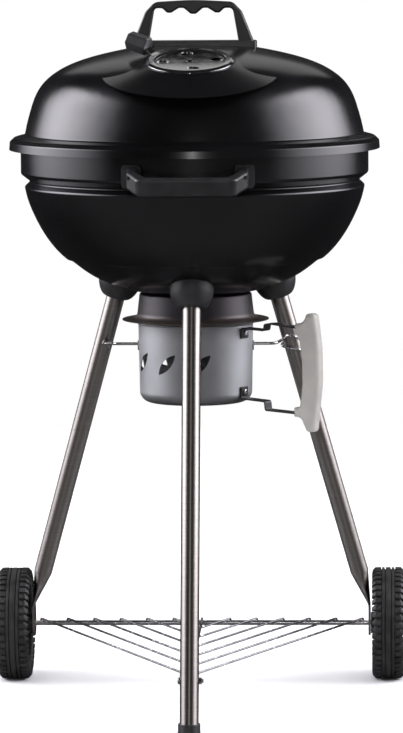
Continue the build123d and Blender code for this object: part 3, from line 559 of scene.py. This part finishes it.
BLACK_MOULDING = Moulding("black_moulding", (0.008, 0.008, 0.0085), (0.017, 0.017, 0.018), (0.30, 0.42))
SOCKET_MOULDING = Moulding("socket_moulding", (0.012, 0.012, 0.0125), (0.022, 0.022, 0.023), (0.42, 0.55))
GREY_MOULDING = Moulding("grey_moulding", (0.30, 0.29, 0.27), (0.345, 0.335, 0.31), (0.46, 0.58), 700.0)


class Dresser:
    """Gives CAD nodes and new pieces their finishes, making each material once."""

    def __init__(self) -> None:
        """Starts with no material made."""
        self._made: dict[str, bpy.types.Material] = {}

    def material(self, finish: object) -> bpy.types.Material:
        """The material of a finish, made at its first use.

        Args:
            finish: The finish.

        Returns:
            The material.
        """
        if finish.name not in self._made:
            self._made[finish.name] = finish.build()
        return self._made[finish.name]

    def dress(self, piece: bpy.types.Object, finish: object) -> None:
        """Puts a finish on all of a piece.

        Args:
            piece: The piece.
            finish: The finish.
        """
        piece.data.materials.clear()
        piece.data.materials.append(self.material(finish))

    def nodes(self, finish: object, *names: str) -> None:
        """Puts a finish on CAD nodes.

        Args:
            finish: The finish.
            *names: Names of CAD nodes.
        """
        for name in names:
            self.dress(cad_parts[name], finish)
            log.info("%s dressed in %s", name, finish.name)


# ---- Modelling helpers ----
def clear_selection() -> None:
    """Leaves edit mode and deselects everything."""
    if bpy.context.object and bpy.context.object.mode != "OBJECT":
        bpy.ops.object.mode_set(mode="OBJECT")
    bpy.ops.object.select_all(action="DESELECT")


def start_piece(name: str) -> bpy.types.Object:
    """Names the primitive that was just added and enters its edit mode.

    Args:
        name: The new piece's name.

    Returns:
        The piece, in edit mode.
    """
    piece = bpy.context.object
    piece.name = name
    bpy.ops.object.transform_apply(location=True, rotation=True, scale=True)
    bpy.ops.object.mode_set(mode="EDIT")
    return piece


def pick(piece: bpy.types.Object, kind: str, wanted: Callable[[Vector, Vector], bool]) -> int:
    """Selects the faces, edges or vertices that a test wants, and nothing else.

    Args:
        piece: A piece in edit mode.
        kind: "FACE", "EDGE" or "VERT".
        wanted: A test of the middle and the normal (zero for an edge).

    Returns:
        How many were selected.
    """
    bpy.ops.mesh.select_mode(type=kind)
    bpy.ops.mesh.select_all(action="DESELECT")
    mesh = bmesh.from_edit_mesh(piece.data)
    count = 0
    parts = {"FACE": mesh.faces, "EDGE": mesh.edges, "VERT": mesh.verts}[kind]
    for part in parts:
        if kind == "FACE":
            chosen = wanted(part.calc_center_median(), part.normal)
        elif kind == "EDGE":
            chosen = wanted((part.verts[0].co + part.verts[1].co) / 2, Vector())
        else:
            chosen = wanted(part.co, part.normal)
        if chosen:
            part.select = True
            count += 1
    mesh.select_flush_mode()
    bmesh.update_edit_mesh(piece.data)
    return count


def finish_piece(piece: bpy.types.Object, body: Body, smooth_angle: float = 35.0) -> bpy.types.Object:
    """Leaves edit mode, shades a piece and lets it ride on its body.

    Args:
        piece: The piece.
        body: The body it moves with.
        smooth_angle: Edges sharper than this many degrees stay sharp.

    Returns:
        The piece.
    """
    if piece.mode != "OBJECT":
        bpy.ops.object.mode_set(mode="OBJECT")
    clear_selection()
    piece.select_set(True)
    bpy.context.view_layer.objects.active = piece
    bpy.ops.object.shade_smooth_by_angle(angle=math.radians(smooth_angle))
    piece.select_set(False)
    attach(piece, body.value)
    log.info("%s made with %d faces, rides on %s", piece.name, len(piece.data.polygons), body.value)
    return piece


def apply_bevel(piece: bpy.types.Object, width: float, segments: int = 2, angle: float = 40.0) -> None:
    """Rounds the sharp edges of a piece with a bevel modifier and applies it.

    Args:
        piece: The piece.
        width: The bevel's width, in metres.
        segments: How many faces go round each edge.
        angle: Edges sharper than this many degrees are rounded.
    """
    if piece.mode != "OBJECT":
        bpy.ops.object.mode_set(mode="OBJECT")
    clear_selection()
    bpy.context.view_layer.objects.active = piece
    bevel = piece.modifiers.new("edges", "BEVEL")
    bevel.width = width
    bevel.segments = segments
    bevel.limit_method = "ANGLE"
    bevel.angle_limit = math.radians(angle)
    bpy.ops.object.modifier_apply(modifier=bevel.name)


# ---- Sub-assemblies ----
@dataclass
class Kettle:
    """Bowl, lid and their handles."""

    dresser: Dresser

    def dress(self) -> None:
        """Dresses the CAD pieces of the kettle."""
        self.dresser.nodes(Enamel(), "bowl", "lid")
        self.dresser.nodes(BLACK_MOULDING, "bowl_handle", "lid_handle")
        self.dresser.nodes(StovePaint(), "lid_heat_shield")
        self.dresser.nodes(Blacking(), "bowl_handle_screws", "lid_handle_screws", "leg_socket_screws")
        self.dresser.nodes(GrateWire(), "cooking_grate", "charcoal_grate")


@dataclass
class VentDamper:
    """The turning damper on the lid."""

    dresser: Dresser

    def dress(self) -> None:
        """Dresses the damper's CAD pieces."""
        self.dresser.nodes(PolishedDamper(), "vent_damper", "damper_rivet")
        self.dresser.nodes(BLACK_MOULDING, "damper_grip")


@dataclass
class Stand:
    """Three tube legs in moulded sockets, and the front foot's cap."""

    dresser: Dresser

    def dress(self) -> None:
        """Dresses the stand's CAD pieces."""
        for name, across, back in (("front_leg", 0, -1), ("left_leg", -1, 1), ("right_leg", 1, 1)):
            low, high = (Vector(corner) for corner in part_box(name))
            run = high - low
            axis = (across * (run.x - LEG_WIDE), back * (run.y - LEG_WIDE), LEG_WIDE - run.z)
            self.dresser.nodes(BrushedTube(f"{name}_steel", axis), name)
        self.dresser.nodes(SOCKET_MOULDING, "front_leg_socket", "left_leg_socket", "right_leg_socket")
        self.dresser.nodes(SOCKET_MOULDING, "front_foot_cap")


@dataclass
class Shelf:
    """The wire shelf, its axle and the bolt at its front."""

    dresser: Dresser
    wires: int = 6

    def dress(self) -> None:
        """Dresses the shelf's CAD pieces."""
        self.dresser.nodes(BrightWire(), "axle", "shelf_rod", "shelf_bolt", "shelf_nut")
        self.dresser.nodes(BrightWire(), *[f"shelf_wire_{k + 1}" for k in range(self.wires)])


@dataclass
class AshCatcher:
    """Collar, bucket, its straps and grip, and the wires that it hangs on."""

    dresser: Dresser

    def dress(self) -> None:
        """Dresses the ash catcher's CAD pieces."""
        self.dresser.nodes(SatinAluminium(), "ash_bucket")
        self.dresser.nodes(CollarSteel(), "ash_collar")
        self.dresser.nodes(Blacking(), "collar_screws", "collar_nuts")
        self.dresser.nodes(StovePaint(), "upper_strap", "lower_strap")
        self.dresser.nodes(BrightWire(), "strap_screws", "left_bucket_pin", "pin_nuts", "right_bucket_spring")
        self.dresser.nodes(GREY_MOULDING, "bucket_grip")


@dataclass
class Wheel:
    """One moulded wheel: a treaded tyre on a ribbed hub with a pushed-on cap."""

    dresser: Dresser
    side: Side
    lugs: int = 46
    steps_per_lug: int = 5
    lug_height: float = 0.0032
    rib_half: float = 0.0085
    groove_half: float = 0.0007
    groove_place: float = 0.0042
    shoulder_start: float = 0.0098
    tread_half: float = 0.0165
    shoulder_drop: float = 0.0045
    sidewall_bulge: float = 0.0006
    bead_width: float = 0.0035
    prefix: str = field(init=False)
    centre: Vector = field(init=False)
    radius: float = field(init=False)
    inner_radius: float = field(init=False)
    half_width: float = field(init=False)

    def __post_init__(self) -> None:
        """Takes the wheel's place and size from its CAD tyre and hub."""
        self.prefix = "left" if self.side is Side.LEFT else "right"
        low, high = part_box(f"{self.prefix}_tyre")
        self.centre = (low + high) / 2
        self.radius = (high.z - low.z) / 2
        self.half_width = (high.x - low.x) / 2
        hub_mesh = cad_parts[f"{self.prefix}_hub"].data
        self.inner_radius = max(
            math.hypot(v.co.y - self.centre.y, v.co.z - self.centre.z) for v in hub_mesh.vertices
        )

    def build(self) -> None:
        """Dresses the wheel's CAD pieces and makes its treaded tyre."""
        self.dresser.nodes(BLACK_MOULDING, f"{self.prefix}_hub", f"{self.prefix}_hub_cap")
        body = Body.LEFT_WHEEL if self.side is Side.LEFT else Body.RIGHT_WHEEL
        tyre = self._tyre_blank()
        self._raise_tread(tyre)
        apply_bevel(tyre, 0.0005, 2)
        finish_piece(tyre, body, 30.0)
        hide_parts(f"{self.prefix}_tyre")
        self.dresser.dress(tyre, TyreCompound())

    def _away(self, place: Vector) -> tuple[float, float, float]:
        """A place seen from the wheel's middle.

        Args:
            place: The place.

        Returns:
            Distance along the axle, radius and angle round it.
        """
        rel = place - self.centre
        return rel.x, math.hypot(rel.y, rel.z), math.atan2(rel.z, rel.y)

    def _tyre_blank(self) -> bpy.types.Object:
        """A plain tyre ring: tread drum, shoulders, sidewalls and beads, closed inside.

        Returns:
            The ring, in edit mode.
        """
        clear_selection()
        base = self.radius - self.lug_height
        bpy.ops.mesh.primitive_cylinder_add(
            vertices=self.lugs * self.steps_per_lug,
            radius=base,
            depth=2 * self.tread_half,
            end_fill_type="NOTHING",
            location=self.centre,
            rotation=(0, math.pi / 2, 0),
        )
        tyre = start_piece(f"{self.prefix}_treaded_tyre")
        for place in self._cuts():
            for side in (-1, 1):
                bpy.ops.mesh.select_all(action="SELECT")
                bpy.ops.mesh.bisect(plane_co=self.centre + Vector((side * place, 0, 0)), plane_no=(1, 0, 0))
        for side in (-1, 1):
            rim_x, rim_r = self.tread_half, base
            for step_x, step_r in self._side_profile(base):
                pick(tyre, "EDGE", lambda c, n: abs(self._away(c)[0] - side * rim_x) < 1e-5
                     and abs(self._away(c)[1] - rim_r) < rim_r * 0.002)
                bpy.ops.mesh.extrude_region_move(
                    MESH_OT_extrude_region={},
                    TRANSFORM_OT_translate={"value": (side * (step_x - rim_x), 0, 0)},
                )
                share = step_r / rim_r
                bpy.ops.transform.resize(value=(1, share, share), center_override=self.centre)
                rim_x, rim_r = step_x, step_r
        pick(tyre, "EDGE", lambda c, n: abs(self._away(c)[1] - self.inner_radius) < self.inner_radius * 0.002)
        bpy.ops.mesh.bridge_edge_loops()
        bpy.ops.mesh.select_all(action="SELECT")
        bpy.ops.mesh.remove_doubles(threshold=1e-6)
        bpy.ops.mesh.normals_make_consistent(inside=False)
        return tyre

    def _cuts(self) -> list[float]:
        """Where the drum is cut across.

        Returns:
            Distances from its middle.
        """
        edge = self.groove_half
        return [self.groove_place - edge, self.groove_place + edge, self.rib_half, self.shoulder_start]

    def _side_profile(self, base: float) -> list[tuple[float, float]]:
        """The sidewall from the tread's edge to the bead.

        Args:
            base: Radius of the drum that the tread stands on.

        Returns:
            Points as (distance from the middle, radius).
        """
        half = self.half_width
        return [
            (half - 0.0012, base - self.shoulder_drop * 0.55),
            (half - 0.0004, base - self.shoulder_drop * 1.7),
            (half - 0.0012, base - self.shoulder_drop * 2.0),
            (half - 0.0012 + self.sidewall_bulge, (base + self.inner_radius) / 2 - 0.001),
            (half - 0.0018, self.inner_radius + self.bead_width),
            (half - 0.0006, self.inner_radius + self.bead_width * 0.7),
            (half - 0.0006, self.inner_radius),
        ]

    def _on_lug(self, angle: float, offset: float) -> bool:
        """Whether an angle round the wheel falls on a lug.

        Args:
            angle: The angle, in radians.
            offset: How far that side's row is turned, in lugs.

        Returns:
            True on a lug, False between two.
        """
        turn = (angle / (2 * math.pi) * self.lugs + offset) % 1.0
        return turn < 3 / self.steps_per_lug

    def _raise_tread(self, tyre: bpy.types.Object) -> None:
        """Raises the shoulder lugs and the middle rib, with its two grooves, out of the drum.

        Args:
            tyre: The tyre ring, in edit mode.
        """
        base = self.radius - self.lug_height
        low = base - self.shoulder_drop * 1.7 - 0.0002

        def on_lug(middle: Vector, normal: Vector) -> bool:
            """Whether a face belongs to a shoulder lug."""
            across, away, angle = self._away(middle)
            outer = abs(across) > self.shoulder_start and away > low and normal.length > 0
            offset = 0.001 if across > 0 else 0.401
            return outer and self._on_lug(angle, offset)

        pick(tyre, "FACE", on_lug)
        bpy.ops.mesh.extrude_region_shrink_fatten(
            MESH_OT_extrude_region={}, TRANSFORM_OT_shrink_fatten={"value": self.lug_height}
        )

        def on_rib(middle: Vector, normal: Vector) -> bool:
            """Whether a face belongs to the middle rib and to none of its grooves."""
            across, away, _ = self._away(middle)
            in_groove = abs(abs(across) - self.groove_place) < self.groove_half
            return abs(across) < self.rib_half and away > base - 0.001 and not in_groove

        pick(tyre, "FACE", on_rib)
        bpy.ops.mesh.extrude_region_shrink_fatten(
            MESH_OT_extrude_region={}, TRANSFORM_OT_shrink_fatten={"value": self.lug_height * 0.9}
        )


# ---- Studio ----
def fades(
    nodes: bpy.types.Nodes,
    links: bpy.types.NodeLinks,
    vector: bpy.types.NodeSocket,
    *steps: tuple[str, float, float],
) -> bpy.types.NodeSocket:
    """The product of smooth steps along a vector's axes.

    Args:
        nodes: The tree's nodes.
        links: The tree's links.
        vector: The vector to read.
        *steps: Axis, the value where the step is 0 and the value where it is 1.

    Returns:
        The value socket.
    """
    split = nodes.new("ShaderNodeSeparateXYZ")
    links.new(vector, split.inputs["Vector"])
    product = None
    for axis, start, end in steps:
        step = nodes.new("ShaderNodeMapRange")
        step.interpolation_type = "SMOOTHSTEP"
        flip = start > end
        step.inputs["From Min"].default_value = end if flip else start
        step.inputs["From Max"].default_value = start if flip else end
        step.inputs["To Min"].default_value = 1.0 if flip else 0.0
        step.inputs["To Max"].default_value = 0.0 if flip else 1.0
        links.new(split.outputs[axis], step.inputs["Value"])
        if product is None:
            product = step.outputs["Result"]
            continue
        times = nodes.new("ShaderNodeMath")
        times.operation = "MULTIPLY"
        links.new(product, times.inputs[0])
        links.new(step.outputs["Result"], times.inputs[1])
        product = times.outputs["Value"]
    return product


@dataclass
class Studio:
    """Pale floor, soft side lights, a small front light and the camera."""

    lens: float = 243.16
    distance: float = 6.729
    turn: float = math.radians(2.27)
    pitch: float = math.radians(5.89)
    roll: float = -0.0067
    aim_x: float = 0.00746
    aim_z: float = 0.45105
    kettle_y: float = 0.033863
    floor_half: float = 3.2
    side_distance: float = 2.3
    side_glow: float = 8.0
    side_tall: float = 3.4
    side_long: float = 5.0
    side_fades: tuple[tuple[str, float, float], ...] = (
        ("Y", -2.0, 0.4),
        ("Y", 2.4, 0.3),
        ("Z", 0.15, 1.3),
        ("Z", 3.2, 2.4),
    )
    front_watts: float = 14.0
    back_watts: float = 8.0
    sky_strength: float = 3.55
    sky_degrees: float = 90.0
    sky_tilt: float = 18.0
    floor_glow: float = 0.2
    dark_glow: float = 0.02

    def build(self) -> None:
        """Sets up everything that isn't the grill."""
        self._floor()
        self._world()
        self._lights()
        self._camera()
        bpy.context.scene.view_settings.view_transform = "Standard"

    def _floor(self) -> None:
        """A pale floor that the polished pieces don't mirror."""
        clear_selection()
        bpy.ops.mesh.primitive_plane_add(size=2 * self.floor_half, location=(0, self.kettle_y, 0))
        floor = bpy.context.object
        floor.name = "studio_floor"
        bpy.ops.object.transform_apply(location=True)
        graph = Graph("studio_floor_paint")
        graph.shader.inputs["Base Color"].default_value = (0.86, 0.86, 0.87, 1)
        graph.settings(Roughness=0.9)
        floor.data.materials.append(graph.material)
        floor.visible_glossy = False

    def _world(self) -> None:
        """An even pale backdrop to the eye; what it throws is dark but for a dim glow low in front."""
        world = bpy.data.worlds.new("studio")
        bpy.context.scene.world = world
        world.use_nodes = True
        nodes, links = world.node_tree.nodes, world.node_tree.links
        nodes.clear()
        seen = nodes.new("ShaderNodeBackground")
        seen.inputs["Color"].default_value = (1, 1, 1, 1)
        thrown = nodes.new("ShaderNodeBackground")
        thrown.inputs["Color"].default_value = (0.97, 0.95, 1, 1)
        direction = nodes.new("ShaderNodeTexCoord").outputs["Generated"]
        glow = fades(nodes, links, direction, ("Z", 0.08, -0.22), ("Y", 0.45, -0.5))
        strength = nodes.new("ShaderNodeMapRange")
        strength.inputs["To Min"].default_value = self.dark_glow
        strength.inputs["To Max"].default_value = self.floor_glow
        links.new(glow, strength.inputs["Value"])
        links.new(strength.outputs["Result"], thrown.inputs["Strength"])
        path = nodes.new("ShaderNodeLightPath")
        mix = nodes.new("ShaderNodeMixShader")
        output = nodes.new("ShaderNodeOutputWorld")
        links.new(path.outputs["Is Camera Ray"], mix.inputs["Fac"])
        links.new(thrown.outputs["Background"], mix.inputs[1])
        links.new(seen.outputs["Background"], mix.inputs[2])
        links.new(mix.outputs["Shader"], output.inputs["Surface"])

    def _side_box(self, side: Side) -> None:
        """A tall soft box beside the grill, which fades towards the front and the top.

        Args:
            side: The side that it stands on.
        """
        clear_selection()
        bpy.ops.mesh.primitive_plane_add(
            size=1,
            location=(side.value * self.side_distance, 0.2, 1.75),
            rotation=(0, -side.value * math.pi / 2, 0),
        )
        box = bpy.context.object
        box.scale = (self.side_tall, self.side_long, 1)
        box.name = "left_soft_box" if side is Side.LEFT else "right_soft_box"
        bpy.ops.object.transform_apply(location=True, rotation=True, scale=True)
        material = bpy.data.materials.new(box.name)
        material.use_nodes = True
        nodes, links = material.node_tree.nodes, material.node_tree.links
        nodes.clear()
        place = nodes.new("ShaderNodeTexCoord").outputs["Object"]
        product = fades(
            nodes,
            links,
            place,
            *self.side_fades,
        )
        strength = nodes.new("ShaderNodeMath")
        strength.operation = "MULTIPLY"
        strength.inputs[1].default_value = self.side_glow
        links.new(product, strength.inputs[0])
        glow = nodes.new("ShaderNodeEmission")
        glow.inputs["Color"].default_value = (0.95, 0.93, 1, 1)
        links.new(strength.outputs["Value"], glow.inputs["Strength"])
        output = nodes.new("ShaderNodeOutputMaterial")
        links.new(glow.outputs["Emission"], output.inputs["Surface"])
        box.data.materials.append(material)
        box.visible_camera = False
        box.visible_shadow = False

    def _area(self, name: str, place: Vector, size: tuple[float, float], watts: float) -> None:
        """One rectangular soft light that faces the grill's middle.

        Args:
            name: Its name.
            place: Where it stands.
            size: Width and height, in metres.
            watts: Its power.
        """
        light = bpy.data.lights.new(name, "AREA")
        light.shape = "RECTANGLE"
        light.size, light.size_y = size
        light.energy = watts
        holder = bpy.data.objects.new(name, light)
        bpy.context.scene.collection.objects.link(holder)
        holder.location = place
        holder.rotation_euler = (Vector((0, self.kettle_y, 0.6)) - place).to_track_quat("-Z", "Y").to_euler()

    def _lights(self) -> None:
        """Soft boxes at both sides, a small one by the camera, one high behind and a broad sky light."""
        for side in Side:
            self._side_box(side)
        self._area("front_box", Vector((0.1, -5.8, 1.5)), (0.3, 0.3), self.front_watts)
        self._area("back_box", Vector((0, 3.4, 3.0)), (3.0, 1.6), self.back_watts)
        sky = bpy.data.lights.new("sky_wash", "SUN")
        sky.energy = self.sky_strength
        sky.angle = math.radians(self.sky_degrees)
        holder = bpy.data.objects.new("sky_wash", sky)
        bpy.context.scene.collection.objects.link(holder)
        holder.location = (0, 0, 5)
        holder.rotation_euler = (math.radians(self.sky_tilt), 0, 0)
        holder.visible_glossy = False

    def _camera(self) -> None:
        """The camera, far off with a long lens, a little above the grill's middle."""
        turn, pitch = self.turn, self.pitch
        back = Vector((math.sin(turn) * math.cos(pitch), -math.cos(turn) * math.cos(pitch), math.sin(pitch)))
        right = Vector((math.cos(turn), math.sin(turn), 0))
        up = back.cross(right)
        level = math.cos(self.roll)
        tilt = math.sin(self.roll)
        aim = Vector((self.aim_x * math.cos(turn), self.aim_x * math.sin(turn) + self.kettle_y, self.aim_z))
        axes = Matrix((right * level + up * tilt, up * level - right * tilt, back)).transposed().to_4x4()
        data = bpy.data.cameras.new("camera")
        data.lens = self.lens
        data.sensor_width = 36.0
        data.clip_end = 200.0
        camera = bpy.data.objects.new("camera", data)
        bpy.context.scene.collection.objects.link(camera)
        camera.matrix_world = Matrix.Translation(aim + back * self.distance) @ axes
        bpy.context.scene.camera = camera


def main() -> None:
    """Builds and dresses the sub-assemblies, then the studio."""
    dresser = Dresser()
    Kettle(dresser).dress()
    VentDamper(dresser).dress()
    Stand(dresser).dress()
    Shelf(dresser).dress()
    AshCatcher(dresser).dress()
    for side in Side:
        Wheel(dresser, side).build()
    Studio().build()


if __name__ == "__main__":
    main()
